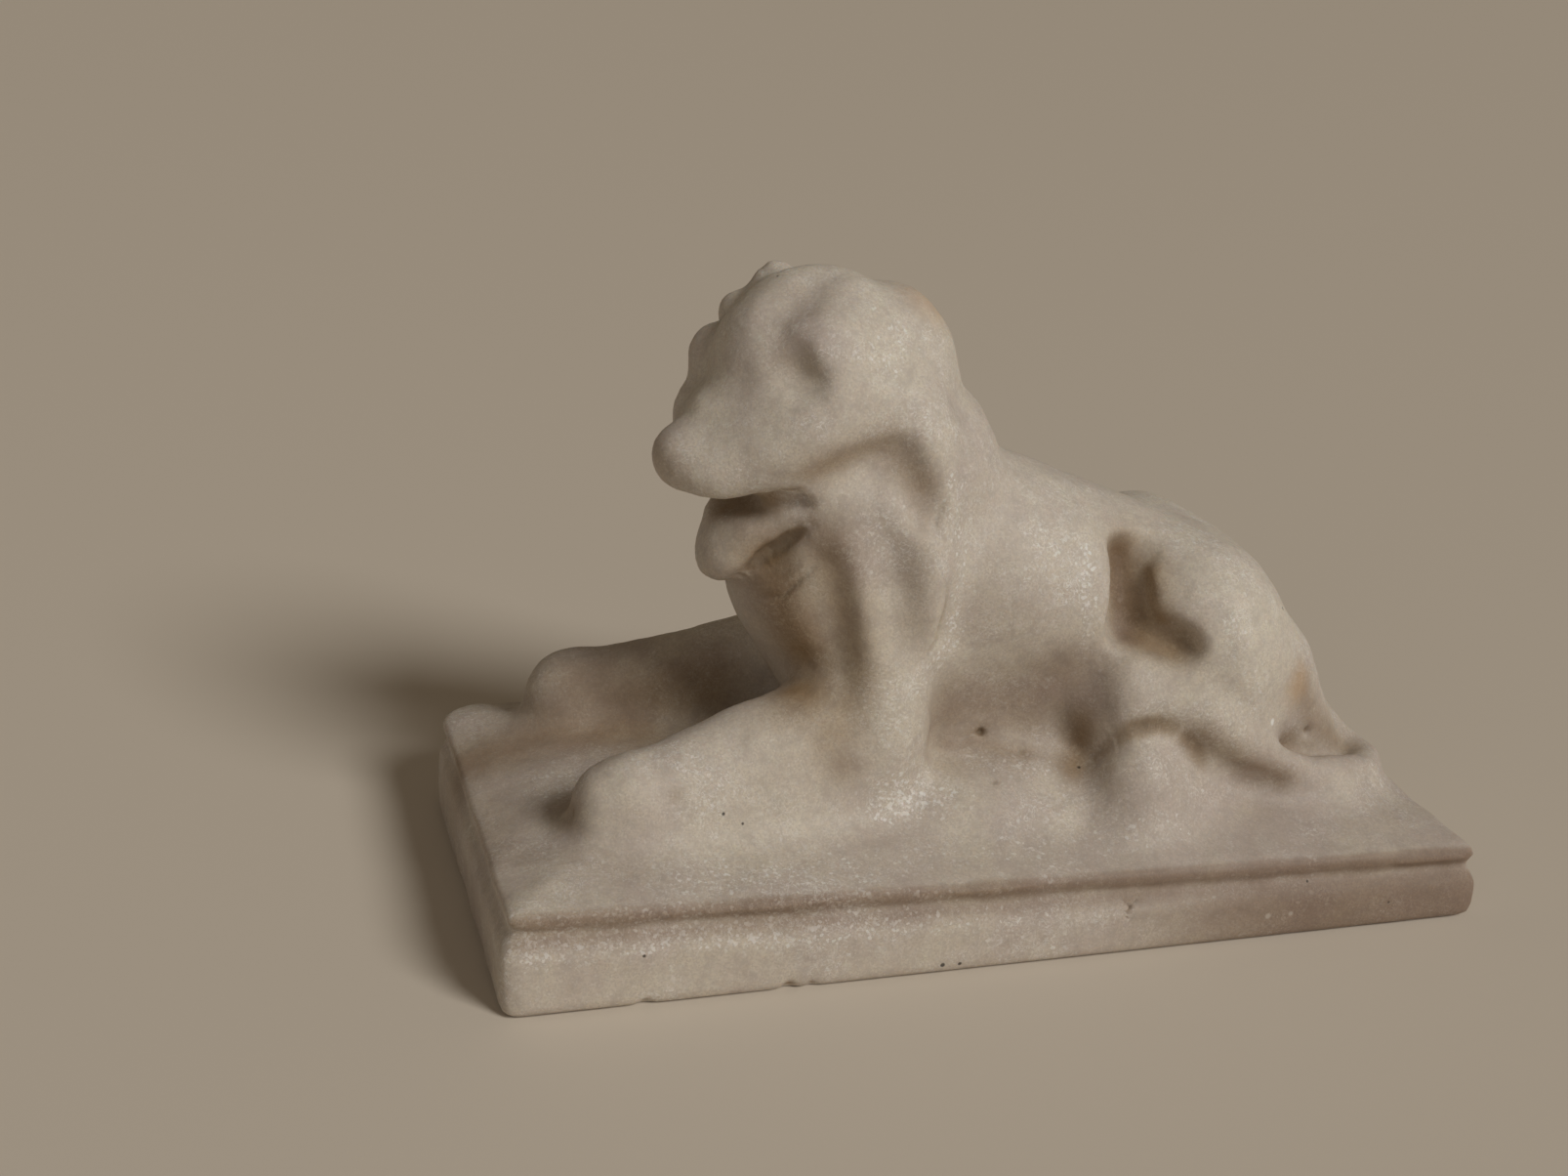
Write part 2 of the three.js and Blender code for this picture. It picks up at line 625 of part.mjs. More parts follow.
function cutFlat(geometry) {
  const depth = UNDERCUT * 4;
  const ground = new THREE.BoxGeometry(PLINTH_LENGTH * 2, PLINTH_WIDTH * 2, depth);
  ground.translate(0, 0, -depth / 2);
  const result = geometryOf(solidOf(geometry).subtract(solidOf(ground)));
  result.computeBoundingBox();
  const centre = result.boundingBox.getCenter(new THREE.Vector3());
  return result.translate(-centre.x, -centre.y, 0);
}

const alabaster = new THREE.MeshStandardMaterial({ color: '#c9bdae', roughness: 0.55, metalness: 0 });
const figurine = new THREE.Mesh(cutFlat(carvedStone()), alabaster);
figurine.name = 'lion_figurine';

const group = new THREE.Group();
group.add(figurine);

export default group;
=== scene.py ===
"""Looks for the alabaster lion: the worn stone itself, its floor, lights and camera.

The stone is one piece. It is a finer copy of the carved solid, smoothed as wear smooths it.
The shallow hollows and ridges that are too small for the solid are then pressed into it or
raised from it.
"""

import math

import bmesh
import bpy
import numpy as np
from bpy.props import FloatProperty, FloatVectorProperty, IntProperty, PointerProperty
from mathutils import Matrix, Vector
from mathutils.bvhtree import BVHTree


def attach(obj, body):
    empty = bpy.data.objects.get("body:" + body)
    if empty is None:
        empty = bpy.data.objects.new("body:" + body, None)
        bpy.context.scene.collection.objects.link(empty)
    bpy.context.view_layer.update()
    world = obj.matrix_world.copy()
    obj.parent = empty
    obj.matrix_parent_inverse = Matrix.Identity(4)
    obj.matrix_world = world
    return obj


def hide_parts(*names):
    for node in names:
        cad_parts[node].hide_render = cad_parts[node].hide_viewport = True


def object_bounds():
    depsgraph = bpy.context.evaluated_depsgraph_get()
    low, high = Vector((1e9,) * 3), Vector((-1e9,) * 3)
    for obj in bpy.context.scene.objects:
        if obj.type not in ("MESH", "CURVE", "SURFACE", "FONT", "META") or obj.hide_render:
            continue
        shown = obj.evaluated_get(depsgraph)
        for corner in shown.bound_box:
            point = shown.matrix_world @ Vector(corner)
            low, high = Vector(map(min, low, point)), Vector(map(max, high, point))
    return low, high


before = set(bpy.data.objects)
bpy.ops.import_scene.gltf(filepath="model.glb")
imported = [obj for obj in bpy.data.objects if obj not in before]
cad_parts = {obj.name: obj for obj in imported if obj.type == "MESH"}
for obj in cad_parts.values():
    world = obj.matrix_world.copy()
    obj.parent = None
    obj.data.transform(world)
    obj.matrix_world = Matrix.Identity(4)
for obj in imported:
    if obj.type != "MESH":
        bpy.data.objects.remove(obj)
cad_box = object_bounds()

bl_info = {
    "name": "Alabaster lion",
    "version": (1, 0, 0),
    "blender": (4, 5, 0),
    "location": "View3D > Sidebar > Lion",
    "description": "Dresses the carved solid of a small alabaster lion and sets its stage",
    "category": "Add Mesh",
}

STONE_NODE = "lion_figurine"
MM = 0.001
SEED = 11

# Places and lengths on the stone are in millimetres, in the solid's frame.

# Marks in the stone. Each line or spot is laid on the surface next to the places named here,
# and has a width and a depth. A depth below zero raises the stone.

LINE_MARKS = {
    "mouth": ([(-36, -9, 68), (-34.5, -15.5, 71), (-32.5, -16.5, 71), (-30, -13.5, 69)], 0.8, 0.5),
    "jaw's lower edge": ([(-38.5, -9, 54), (-36, -11.5, 58.5), (-33, -13, 62), (-30, -15, 65)], 1.5, 1.3),
    "tuft's lower edge": ([(-36, -8, 51), (-33, -12.5, 53), (-30, -14.5, 57), (-28, -15.5, 60)], 0.7, 0.5),
    "mane's edge above": ([(-9, -19, 71), (-10.5, -19, 68.5), (-11.5, -19, 66), (-11, -20, 64.5)], 0.8, 0.35),
    "mane's edge below": ([(-9, -20, 58), (-8.5, -19.5, 53.5), (-9.5, -19.5, 47), (-13, -20, 43)], 0.9, 0.45),
    "flaw in the belly": ([(1, -14.5, 28.5), (-1, -14.5, 28), (-3, -14.5, 27.5)], 0.4, 0.35),
    "flaw in the wall": ([(16.5, -39, 9.8), (18, -39.5, 8.4), (17, -39.7, 7), (19, -39.8, 6)], 0.3, 0.6),
    "its branch": ([(18, -39.5, 8.4), (19, -39.5, 9.6), (19.8, -39.3, 8)], 0.3, 0.6),
    "thigh's ridge": ([(39, -20, 53), (40.5, -25, 40.5), (45.5, -23.5, 32.5)], 2.2, -0.4),
    "brow": ([(-34, -9, 95), (-29, -13, 93), (-27, -15, 89)], 1.8, -0.5),
    "far ear": ([(-31, 12, 98), (-28, 11.5, 98.5), (-25.5, 11.5, 98)], 2.8, -1.7),
    "foot's inner edge": ([(16, -21.7, 22.7), (18, -20.2, 25.2), (20, -21.9, 28)], 2.0, 0.5),
    "foot's upper edge": ([(20, -21.9, 28.5), (23, -24.2, 31.4), (27, -24.8, 32), (31, -25, 30.6)], 2.4, 0.9),
    "foot's outer edge": ([(31, -25, 30.6), (34, -25, 27.4), (37, -24.8, 22.5)], 2.2, 0.7),
}
SPOT_MARKS = {
    "throat": ((-32.5, -12, 56), 3.5, 0.35),
    "eye": ((-32.7, -12.6, 90), 1.6, 0.25),
    "foot's top": ((25, -27.5, 26.5), 4.0, -0.5),
    "belly": ((1, -14.5, 28.4), 0.9, 0.9),
    "belly, higher": ((1, -14.3, 32), 0.5, 0.4),
    "belly, right": ((7, -16.5, 25.6), 0.8, 0.5),
    "field": ((0.6, -22, 23), 0.7, 0.45),
    "thigh": ((21.7, -20, 42.2), 0.5, 0.4),
    "thigh, right": ((25, -21.7, 41.5), 0.5, 0.3),
    "tail's hollow": ((59, -16, 24.6), 0.9, 0.7),
    "near paw": ((-51.7, -24.5, 26.5), 2.2, 0.4),
    "toes": ((-66.5, -18.7, 22.5), 1.6, 0.6),
    "bottom edge, left": ((-59, -39.9, 0.3), 1.2, 0.5),
    "bottom edge": ((-37, -39.9, 0.4), 1.2, 0.7),
    "bottom edge, right": ((-33.5, -39.9, 0.2), 0.8, 0.5),
}

# Tints along lines near the surface, each with a width and a strength: brown that is mostly
# painted shade and shadow, mauve stone with some painted shade, and whitish crystal.

# Brown painted shade in the hollows of the throat, mouth, nose, eye, cheek and pocket, partly standing for
# brown grime in those hollows.
PAINTED_SHADE_AND_BROWN = {
    "throat": ([(-34, -10, 58), (-31, -13, 48), (-29.5, -16, 38)], 7.0, 1.0),
    "beside the throat": ([(-27, -15.5, 62), (-25, -17.5, 52), (-24, -20, 42), (-26, -21.5, 35)], 5.0, 0.8),
    "furrow by the forearm": ([(-29.5, -19, 36), (-27.8, -22, 32.4), (-25, -23, 29)], 3.5, 0.55),
    # Painted shadow cast by the near foreleg, the head and the chest.
    "far foreleg": ([(-58, 15, 28), (-48, 13, 27), (-39, 10, 29)], 9.0, 0.85),
    "inside the mouth": ([(-40, -2, 65), (-35, -11, 68.5)], 3.0, 0.75),
    "under the cheek": ([(-31, -17, 75), (-25, -18.5, 76.5), (-19.5, -18, 78), (-14, -18.5, 72)], 3.0, 0.7),
    "behind the cheek": ([(-14.5, -18.5, 72), (-13, -20, 67)], 2.4, 0.5),
    "pocket": ([(24.5, -10, 56), (25, -13, 49), (27, -16.5, 44), (31, -19, 43)], 4.6, 0.85),
    "pocket's far side": ([(28, -14, 54), (29, -17, 47.5)], 3.8, 0.8),
    "along the belly": ([(-6, -15, 27), (0, -15.5, 27), (8, -17.5, 26)], 1.6, 0.5),
    "furrow by the leg": ([(17, -18, 31), (17, -17, 26), (15, -20, 23)], 3.2, 0.75),
    "under the tail": ([(34, -26.5, 30), (42, -26, 25), (50, -25.5, 21)], 2.8, 0.55),
    "tail's hollow": ([(55, -18, 35), (61, -15, 26), (69, -12, 19.5)], 3.2, 0.6),
    # Painted shadow of the head on the field between the forelegs.
    "between the paws": ([(-76, 14, 17), (-64, 16, 20), (-50, 12, 22)], 9.0, 0.8),
    "toes": ([(-66.5, -18.5, 22), (-65, -12, 20)], 3.0, 0.5),
    "left field": ([(-77, -20, 17), (-77, -2, 17)], 4.0, 0.3),
    "nose": ([(-51, -6, 74), (-50, -9, 73)], 3.5, 0.35),
    "eye": ([(-33.5, -12.5, 90), (-31, -14, 88.5)], 2.0, 0.3),
}
# Mauve stone tone, and painted shade on the pocket's rim and where the low flank curves under.
MAUVE_AND_PAINTED_SHADE = {
    "pocket's rim": ([(24, -9.4, 56), (24, -12, 49.5), (24, -15, 44)], 2.6, 1.0),
    "middle flank": ([(-2, -18, 50), (8, -18, 46)], 8.0, 0.35),
    "low flank": ([(-4, -16, 33), (8, -17, 32), (13, -17, 38)], 9.0, 1.0),
    "forehead": ([(-31, -5, 98.5), (-30, -10, 96.5), (-34, -11, 91)], 3.0, 0.3),
    "cheek": ([(-34, -16, 84), (-28, -18, 80), (-20, -17, 84)], 3.0, 0.15),
    "field by the paws": ([(-72, -24, 19), (-60, -30, 18)], 6.0, 0.45),
    "field at the right": ([(40, -32, 18), (68, -28, 15)], 8.0, 0.2),
    "field by the tail": ([(36, -27, 21), (52, -26, 21)], 4.0, 0.3),
    "rear lock": ([(-16, -21, 58), (-14, -21, 48)], 4.0, 0.5),
}
VEILS = {
    "elbow's foot": ([(-18, -23.5, 22), (-8, -22, 22)], 3.6, 1.0),
    "belly's foot": ([(0, -18, 24.5), (10, -20, 24)], 2.4, 0.7),
    "flank streak": ([(16, -14.5, 59), (15.5, -18, 52), (16, -18.5, 43)], 1.5, 0.7),
    "mane's edge": ([(-8, -18.5, 72), (-6, -17.5, 61), (-6.5, -18, 48), (-10, -19, 40)], 2.2, 0.6),
    "back of the head": ([(-16, -10.5, 93.5), (-20, -15.5, 89.5)], 3.0, 0.6),
    "field": ([(-50, -34, 17), (0, -33, 18), (30, -32, 18)], 3.5, 0.35),
}
# Warm stains, and the bright crystals and dark specks that stand out, each with a place and a
# reach

STAINS = (
    ((-8, -2, 96), 9.0),
    ((54.5, -18.5, 34.5), 6.0),
)
GLINTS = (
    ((48.5, -22.5, 30), 0.8),
    ((50, -38, 12.5), 0.6),
    ((42, -39.7, 4.4), 0.7),
    ((46, -39.7, 4.4), 0.6),
)
SPECKS = (
    ((-44.4, -25.2, 23.3), 0.35),
    ((-41.4, -25.7, 21.6), 0.3),
    ((-59.5, -39.9, 8.8), 0.35),
    ((-12.8, -39.8, 1.9), 0.5),
    ((-10, -39.8, 1.8), 0.4),
)
LINE_STEPS = 6
LEAST_MARK = 0.06
MARK_SPLITS = 2

# The underside of the plinth's lip at its middle, how much it falls for each millimetre toward
# the rear, and where the near wall starts and is full in Y.

LIP_MIDDLE = 12.2
LIP_FALL = 0.0275
WALL_START = -37.0
WALL_FULL = -39.0

# How stone that is sheltered by other stone is found: reach, rays from each point, smoothing

SHELTER_REACH = 22.0
SHELTER_RAYS = 12
SHELTER_BLUR = 8

# Noise patterns in the stone: waves in a millimetre, detail, roughness and distortion

BROAD = (0.030, 3, 0.5, 0.6)
PATCHY = (0.12, 4, 0.6, 0.0)
ZONES = (0.09, 3, 0.65, 0.0)
MOTTLES = (0.42, 4, 0.75, 0.0)
THREADS = (0.5, 3, 0.6, 1.2)
FINE = (0.7, 5, 0.7, 0.0)
DUST = (1.5, 4, 0.8, 0.0)

# Cells in a millimetre

GRAIN = 2.1
SMALL_GRAIN = 3.6
PORES = 0.21

# How much darker than mauve stone the darkest grains are

GRAIN_SHADE = 0.72

# Lights and floor. Places and lengths are in metres here, and the key light's spread is in
# degrees.

KEY_WAY = (-0.45, 0.70, -0.64)
KEY_SPREAD = 20
KEY_TINT = (1.0, 0.97, 0.92)
FILL_PLACE = (-0.75, -0.9, 0.7)
FILL_TARGET = (0, 0, 0.04)
FILL_SIZE = 0.9
FILL_TINT = (0.92, 0.95, 1.0)
SKY_TINT = (1.0, 0.77, 0.50)
FLOOR_REACH = 3.0
FLOOR_ROUGHNESS = 0.7

# Camera: the sensor's width in millimetres and the nearest distance seen, in metres

SENSOR_WIDTH = 36.0
NEAREST_SEEN = 0.01


class StoneSizes(bpy.types.PropertyGroup):
    """Sizes of the finer surface."""

    voxel: FloatProperty(
        name="Surface step",
        description="Edge length of the finer surface's faces",
        default=0.00085,
        min=0.0007,
        max=0.003,
        unit="LENGTH",
    )
    wear_passes: IntProperty(
        name="Wear passes",
        description="How often the surface is smoothed after it is remeshed",
        default=3,
        min=0,
        max=40,
    )
    swell_size: FloatProperty(
        name="Swell size",
        description="Width of the shallow swells that hand carving leaves",
        default=0.009,
        min=0.002,
        max=0.05,
        unit="LENGTH",
    )
    swell_height: FloatProperty(
        name="Swell height",
        description="Height of those swells from hollow to crest",
        default=0.0007,
        min=0.0,
        max=0.003,
        unit="LENGTH",
    )
    ripple_size: FloatProperty(
        name="Ripple size",
        description="Width of the fine ripples of the worn surface",
        default=0.0032,
        min=0.001,
        max=0.02,
        unit="LENGTH",
    )
    ripple_height: FloatProperty(
        name="Ripple height",
        description="Height of those ripples",
        default=0.00022,
        min=0.0,
        max=0.002,
        unit="LENGTH",
    )


class StoneColours(bpy.types.PropertyGroup):
    """Colours of the stone, of what lies on it, and of painted shade."""

    cream: FloatVectorProperty(
        name="Cream",
        description="Polished stone on the high places",
        subtype="COLOR",
        default=(0.66, 0.605, 0.51),
        min=0.0,
        max=1.0,
    )
    mauve: FloatVectorProperty(
        name="Mauve",
        description="Greyer, pinkish stone of the flanks and the base",
        subtype="COLOR",
        default=(0.55, 0.48, 0.43),
        min=0.0,
        max=1.0,
    )
    crystal: FloatVectorProperty(
        name="Crystal",
        description="Bright sugar grains",
        subtype="COLOR",
        default=(0.86, 0.86, 0.84),
        min=0.0,
        max=1.0,
    )
    # Brown for painted shade in the hollows and under the lip, and for grime in the hollows.
    brown_and_shade: FloatVectorProperty(
        name="Brown and shade",
        description="Brown that darkens the stone in the hollows",
        subtype="COLOR",
        default=(0.43, 0.305, 0.16),
        min=0.0,
        max=1.0,
    )
    # Mauve for stone tone, and for painted shade under the lip, on the pocket's rim and on the low flank.
    mauve_and_shade: FloatVectorProperty(
        name="Mauve and shade",
        description="Mauve that darkens the low flank and the base",
        subtype="COLOR",
        default=(0.58, 0.51, 0.465),
        min=0.0,
        max=1.0,
    )
    rust: FloatVectorProperty(
        name="Rust",
        description="Warm stain behind the head and in the tail's hollow",
        subtype="COLOR",
        default=(0.56, 0.36, 0.19),
        min=0.0,
        max=1.0,
    )
    # Dark specks, and painted shade in the floors of the pits and deepest grooves.
    soot_and_pit_shade: FloatVectorProperty(
        name="Soot and pit shade",
        description="Dark specks in the pores",
        subtype="COLOR",
        default=(0.03, 0.025, 0.02),
        min=0.0,
        max=1.0,
    )


class StageSettings(bpy.types.PropertyGroup):
    """Floor, lights and camera."""

    floor_colour: FloatVectorProperty(
        name="Floor",
        description="Colour of the plain floor",
        subtype="COLOR",
        default=(0.66, 0.595, 0.51),
        min=0.0,
        max=1.0,
    )
    key_power: FloatProperty(
        name="Key light",
        description="Strength of the large, far light at the right",
        default=1.86,
        min=0.0,
    )
    fill_power: FloatProperty(
        name="Fill light",
        description="Power of the weak light to the left behind the camera",
        default=1.1,
        min=0.0,
        unit="POWER",
    )
    sky_strength: FloatProperty(
        name="Ambient light",
        description="Strength of the even light from all round",
        default=0.115,
        min=0.0,
    )
    camera_place: FloatVectorProperty(
        name="Camera place",
        description="Where the camera stands",
        subtype="TRANSLATION",
        default=(-0.12234, -0.31137, 0.17109),
    )
    camera_turn: FloatProperty(
        name="Camera turn",
        description="Azimuth that the camera looks along, from +Y toward +X",
        default=16.7,
    )
    camera_dip: FloatProperty(
        name="Camera dip",
        description="How far the camera looks down",
        default=20.5,
    )
    camera_roll: FloatProperty(
        name="Camera roll",
        description="How far the camera leans to its left",
        default=2.7,
    )
    camera_lens: FloatProperty(
        name="Lens",
        description="Focal length on a sensor 36 mm wide",
        default=49.94,
        min=10.0,
        unit="CAMERA",
    )


# Mesh work


def show(name, mesh):
    piece = bpy.data.objects.new(name, mesh)
    bpy.context.scene.collection.objects.link(piece)
    return piece


def merged_copy(name, node):
    form = bmesh.new()
    form.from_mesh(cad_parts[node].data)
    bmesh.ops.remove_doubles(form, verts=form.verts, dist=0.001 * MM)
    mesh = bpy.data.meshes.new(name)
    form.to_mesh(mesh)
    form.free()
    return show(name, mesh)


def apply_modifiers(piece):
    graph = bpy.context.evaluated_depsgraph_get()
    finished = bpy.data.meshes.new_from_object(piece.evaluated_get(graph))
    finished.name = piece.name
    rough = piece.data
    piece.modifiers.clear()
    piece.data = finished
    bpy.data.meshes.remove(rough)


def remesh(piece, voxel, wear_passes):
    fine = piece.modifiers.new("fine surface", "REMESH")
    fine.mode = "VOXEL"
    fine.voxel_size = voxel
    fine.use_smooth_shade = True
    wear = piece.modifiers.new("wear", "SMOOTH")
    wear.factor = 0.5
    wear.iterations = wear_passes
    apply_modifiers(piece)


def swell(piece, name, size, height, depth):
    pattern = bpy.data.textures.new(name, "CLOUDS")
    pattern.noise_scale = size
    pattern.noise_depth = depth
    lift = piece.modifiers.new(name, "DISPLACE")
    lift.texture = pattern
    lift.texture_coords = "LOCAL"
    lift.strength = height
    lift.mid_level = 0.5
    lift.vertex_group = "open air"


def read_points(mesh):
    flat = np.empty(len(mesh.vertices) * 3)
    mesh.vertices.foreach_get("co", flat)
    return flat.reshape(-1, 3) / MM


def read_normals(mesh):
    flat = np.empty(len(mesh.vertices) * 3)
    mesh.vertex_normals.foreach_get("vector", flat)
    return flat.reshape(-1, 3)


def read_edges(mesh):
    flat = np.empty(len(mesh.edges) * 2, dtype=np.int64)
    mesh.edges.foreach_get("vertices", flat)
    return flat.reshape(-1, 2)


def write_points(mesh, points):
    mesh.vertices.foreach_set("co", (points * MM).ravel())
    mesh.update()


def write_layer(mesh, name, values):
    layer = mesh.attributes.new(name, "FLOAT", "POINT")
    layer.data.foreach_set("value", np.clip(values, 0, 1).astype(np.float32))


def spread(edges, values, passes):
    """Averages values over the mesh's edges, again and again."""
    count = len(values)
    ends = np.concatenate([edges[:, 0], edges[:, 1]])
    others = np.concatenate([edges[:, 1], edges[:, 0]])
    weight = np.bincount(ends, minlength=count)[:, None]
    result = values.reshape(count, -1).astype(float)
    for _ in range(passes):
        total = np.stack([np.bincount(ends, c[others], minlength=count) for c in result.T], axis=1)
        result = 0.5 * result + 0.5 * total / weight
    return result.reshape(values.shape)


def softstep(values, low, high):
    share = np.clip((values - low) / (high - low), 0, 1)
    return share * share * (3 - 2 * share)


def surface_tree(mesh, points):
    return BVHTree.FromPolygons(points.tolist(), [tuple(p.vertices) for p in mesh.polygons])


def shelter(mesh, points, normals, reach, rays):
    """Share of the sky that nearby stone hides from each point."""
    tree = surface_tree(mesh, points)
    chance = np.random.default_rng(SEED)
    spin = chance.normal(size=(rays, 3))
    spin /= np.linalg.norm(spin, axis=1)[:, None]
    hidden = np.zeros(len(points))
    for index, (point, normal) in enumerate(zip(points, normals)):
        start = Vector(point + normal * 0.3)
        shut = 0.0
        for way in spin + normal * 1.02:
            gap = tree.ray_cast(start, Vector(way).normalized(), reach)[3]
            if gap is not None:
                shut += 1 - gap / reach
        hidden[index] = shut / rays
    return hidden


def along_line(points, line):
    """Distance of each point from a run of straight stretches, and how far along it is."""
    nearest = np.full(len(points), np.inf)
    share = np.zeros(len(points))
    steps = len(line) - 1
    for i in range(steps):
        start, end = np.array(line[i]), np.array(line[i + 1])
        span = end - start
        t = np.clip((points - start) @ span / (span @ span), 0, 1)
        gap = np.linalg.norm(points - start - t[:, None] * span, axis=1)
        closer = gap < nearest
        nearest[closer] = gap[closer]
        share[closer] = (i + t[closer]) / steps
    return nearest, share


# Material nodes


def add_node(tree, kind, settings=(), inputs=()):
    node = tree.nodes.new(kind)
    for name, value in dict(settings).items():
        setattr(node, name, value)
    for name, value in dict(inputs).items():
        feed(tree, node.inputs[name], value)
    return node


def feed(tree, socket, value):
    if isinstance(value, bpy.types.NodeSocket):
        tree.links.new(value, socket)
    else:
        socket.default_value = value


def calculate(tree, operation, *values):
    node = add_node(tree, "ShaderNodeMath", {"operation": operation})
    for socket, value in zip(node.inputs, values):
        feed(tree, socket, value)
    return node.outputs[0]


def step_between(tree, value, low, high):
    settings = {"interpolation_type": "SMOOTHSTEP"}
    inputs = {"Value": value, "From Min": low, "From Max": high}
    return add_node(tree, "ShaderNodeMapRange", settings, inputs).outputs["Result"]


def blend_colour(tree, share, first, second, mode="MIX"):
    node = add_node(tree, "ShaderNodeMix", {"data_type": "RGBA", "blend_type": mode})
    colours = [s for s in node.inputs if s.type == "RGBA"]
    feed(tree, node.inputs["Factor"], share)
    feed(tree, colours[0], first)
    feed(tree, colours[1], second)
    return next(s for s in node.outputs if s.type == "RGBA")


def cloud(tree, place, pattern):
    inputs = dict(zip(("Scale", "Detail", "Roughness", "Distortion"), pattern))
    return add_node(tree, "ShaderNodeTexNoise", {}, {"Vector": place, **inputs}).outputs["Fac"]


def cells(tree, place, scale):
    return add_node(tree, "ShaderNodeTexVoronoi", {"feature": "F1"}, {"Vector": place, "Scale": scale})


def layer_value(tree, name):
    return add_node(tree, "ShaderNodeAttribute", {"attribute_name": name}).outputs["Fac"]


def near_place(tree, place, centre, inner, outer):
    gap = add_node(tree, "ShaderNodeVectorMath", {"operation": "DISTANCE"})
    feed(tree, gap.inputs[0], place)
    feed(tree, gap.inputs[1], centre)
    return step_between(tree, gap.outputs["Value"], outer, inner)


def opaque(colour):
    return (*colour, 1.0)


def cell_value(tree, pattern, channel):
    """A value between 0 and 1 that each cell of the pattern draws for itself."""
    colour = pattern.outputs["Color"]
    return add_node(tree, "ShaderNodeSeparateColor", {}, {"Color": colour}).outputs[channel]


def times(tree, *values):
    result = values[0]
    for value in values[1:]:
        result = calculate(tree, "MULTIPLY", result, value)
    return result


def most(tree, values):
    result = values[0]
    for value in values[1:]:
        result = calculate(tree, "MAXIMUM", result, value)
    return result


def stone_clouds(tree, mm, patchy, colours):
    """Cream and mauve stone in soft clouds."""
    tone = calculate(tree, "ADD", times(tree, cloud(tree, mm, BROAD), 0.6), times(tree, patchy, 0.4))
    mauve_share = step_between(tree, tone, 0.36, 0.66)
    return blend_colour(tree, mauve_share, opaque(colours.cream), opaque(colours.mauve))


def darker_grains(tree, mm, stone, colours):
    """The stone with grains and mottles that are darker than the rest."""
    small = cells(tree, mm, SMALL_GRAIN)
    dark_share = times(tree, step_between(tree, cell_value(tree, small, "Green"), 0.2, 1.0), 0.4)
    mottle = times(tree, step_between(tree, cloud(tree, mm, MOTTLES), 0.42, 0.68), 0.5)
    shade = opaque([c * GRAIN_SHADE for c in colours.mauve])
    return blend_colour(tree, most(tree, [dark_share, mottle]), stone, shade)


def crystals(tree, mm, veil):
    """Share of whitish dust and threads, and share of single bright grains."""
    grain = cells(tree, mm, GRAIN)
    small = cells(tree, mm, SMALL_GRAIN)
    zone = step_between(tree, cloud(tree, mm, ZONES), 0.42, 0.68)
    likely = calculate(tree, "ADD", times(tree, zone, 0.05), times(tree, veil, 0.20))
    bright = step_between(tree, calculate(tree, "ADD", cell_value(tree, grain, "Red"), likely), 0.965, 1.08)
    tiny = step_between(tree, calculate(tree, "ADD", cell_value(tree, small, "Blue"), likely), 0.84, 1.15)
    sparkle = most(tree, [bright, times(tree, tiny, 0.6)])
    glint = most(tree, [near_place(tree, mm, spot, reach * 0.4, reach) for spot, reach in GLINTS])
    dust = step_between(tree, cloud(tree, mm, DUST), 0.50, 0.72)
    ridge = calculate(tree, "ABSOLUTE", calculate(tree, "SUBTRACT", cloud(tree, mm, THREADS), 0.5))
    threads = times(tree, step_between(tree, ridge, 0.022, 0.004), 1.2)
    frost = calculate(tree, "ADD", times(tree, most(tree, [zone, veil]), 0.42), 0.06)
    return times(tree, most(tree, [dust, threads]), frost), most(tree, [times(tree, sparkle, 0.62), glint])


def brown_and_shade_share(tree, near_wall, below_lip, along_wall, patchy):
    """Brown: painted shade in the hollows and under the lip, partly grime in the hollows, and more brown
    along the wall toward the rear.
    """
    ragged = times(tree, layer_value(tree, "settled_brown_and_shade"), calculate(tree, "ADD", times(tree, patchy, 0.5), 0.75))
    # Painted shade under the plinth's lip.
    shade_under_lip = times(tree, near_wall, step_between(tree, below_lip, 3.5, 0.5), 0.4)
    return most(tree, [ragged, shade_under_lip, times(tree, near_wall, along_wall, 0.3)])


def mauve_and_shade_share(tree, near_wall, below_lip, along_wall, z):
    """Mauve darker toward the bottom and along the wall toward the rear, painted shade under the lip at the
    wall's top, and the mauve layer of stone tone and painted shade.
    """
    wall_right = times(tree, near_wall, calculate(tree, "ADD", times(tree, along_wall, 0.8), 0.2))
    # Painted shade under the plinth's lip.
    mauve_shade_under_lip = times(tree, near_wall, step_between(tree, below_lip, 5.5, 1.5), 0.9)
    low_down = times(tree, step_between(tree, z, 45.0, 22.0), 0.24)
    return most(tree, [low_down, wall_right, mauve_shade_under_lip, layer_value(tree, "mauve_and_shade")])


def soot_and_pit_shade_share(tree, mm):
    """Dark specks, loose ones in some of the pores and placed ones, and painted shade with dark specks in the
    floors of the pits and deepest grooves.
    """
    pores = cells(tree, mm, PORES)
    pore_core = step_between(tree, pores.outputs["Distance"], 0.085, 0.045)
    loose = times(tree, pore_core, calculate(tree, "GREATER_THAN", cell_value(tree, pores, "Blue"), 0.93))
    placed = most(tree, [near_place(tree, mm, centre, reach * 0.5, reach) for centre, reach in SPECKS])
    return most(tree, [loose, placed, times(tree, layer_value(tree, "pit"), 0.35)])


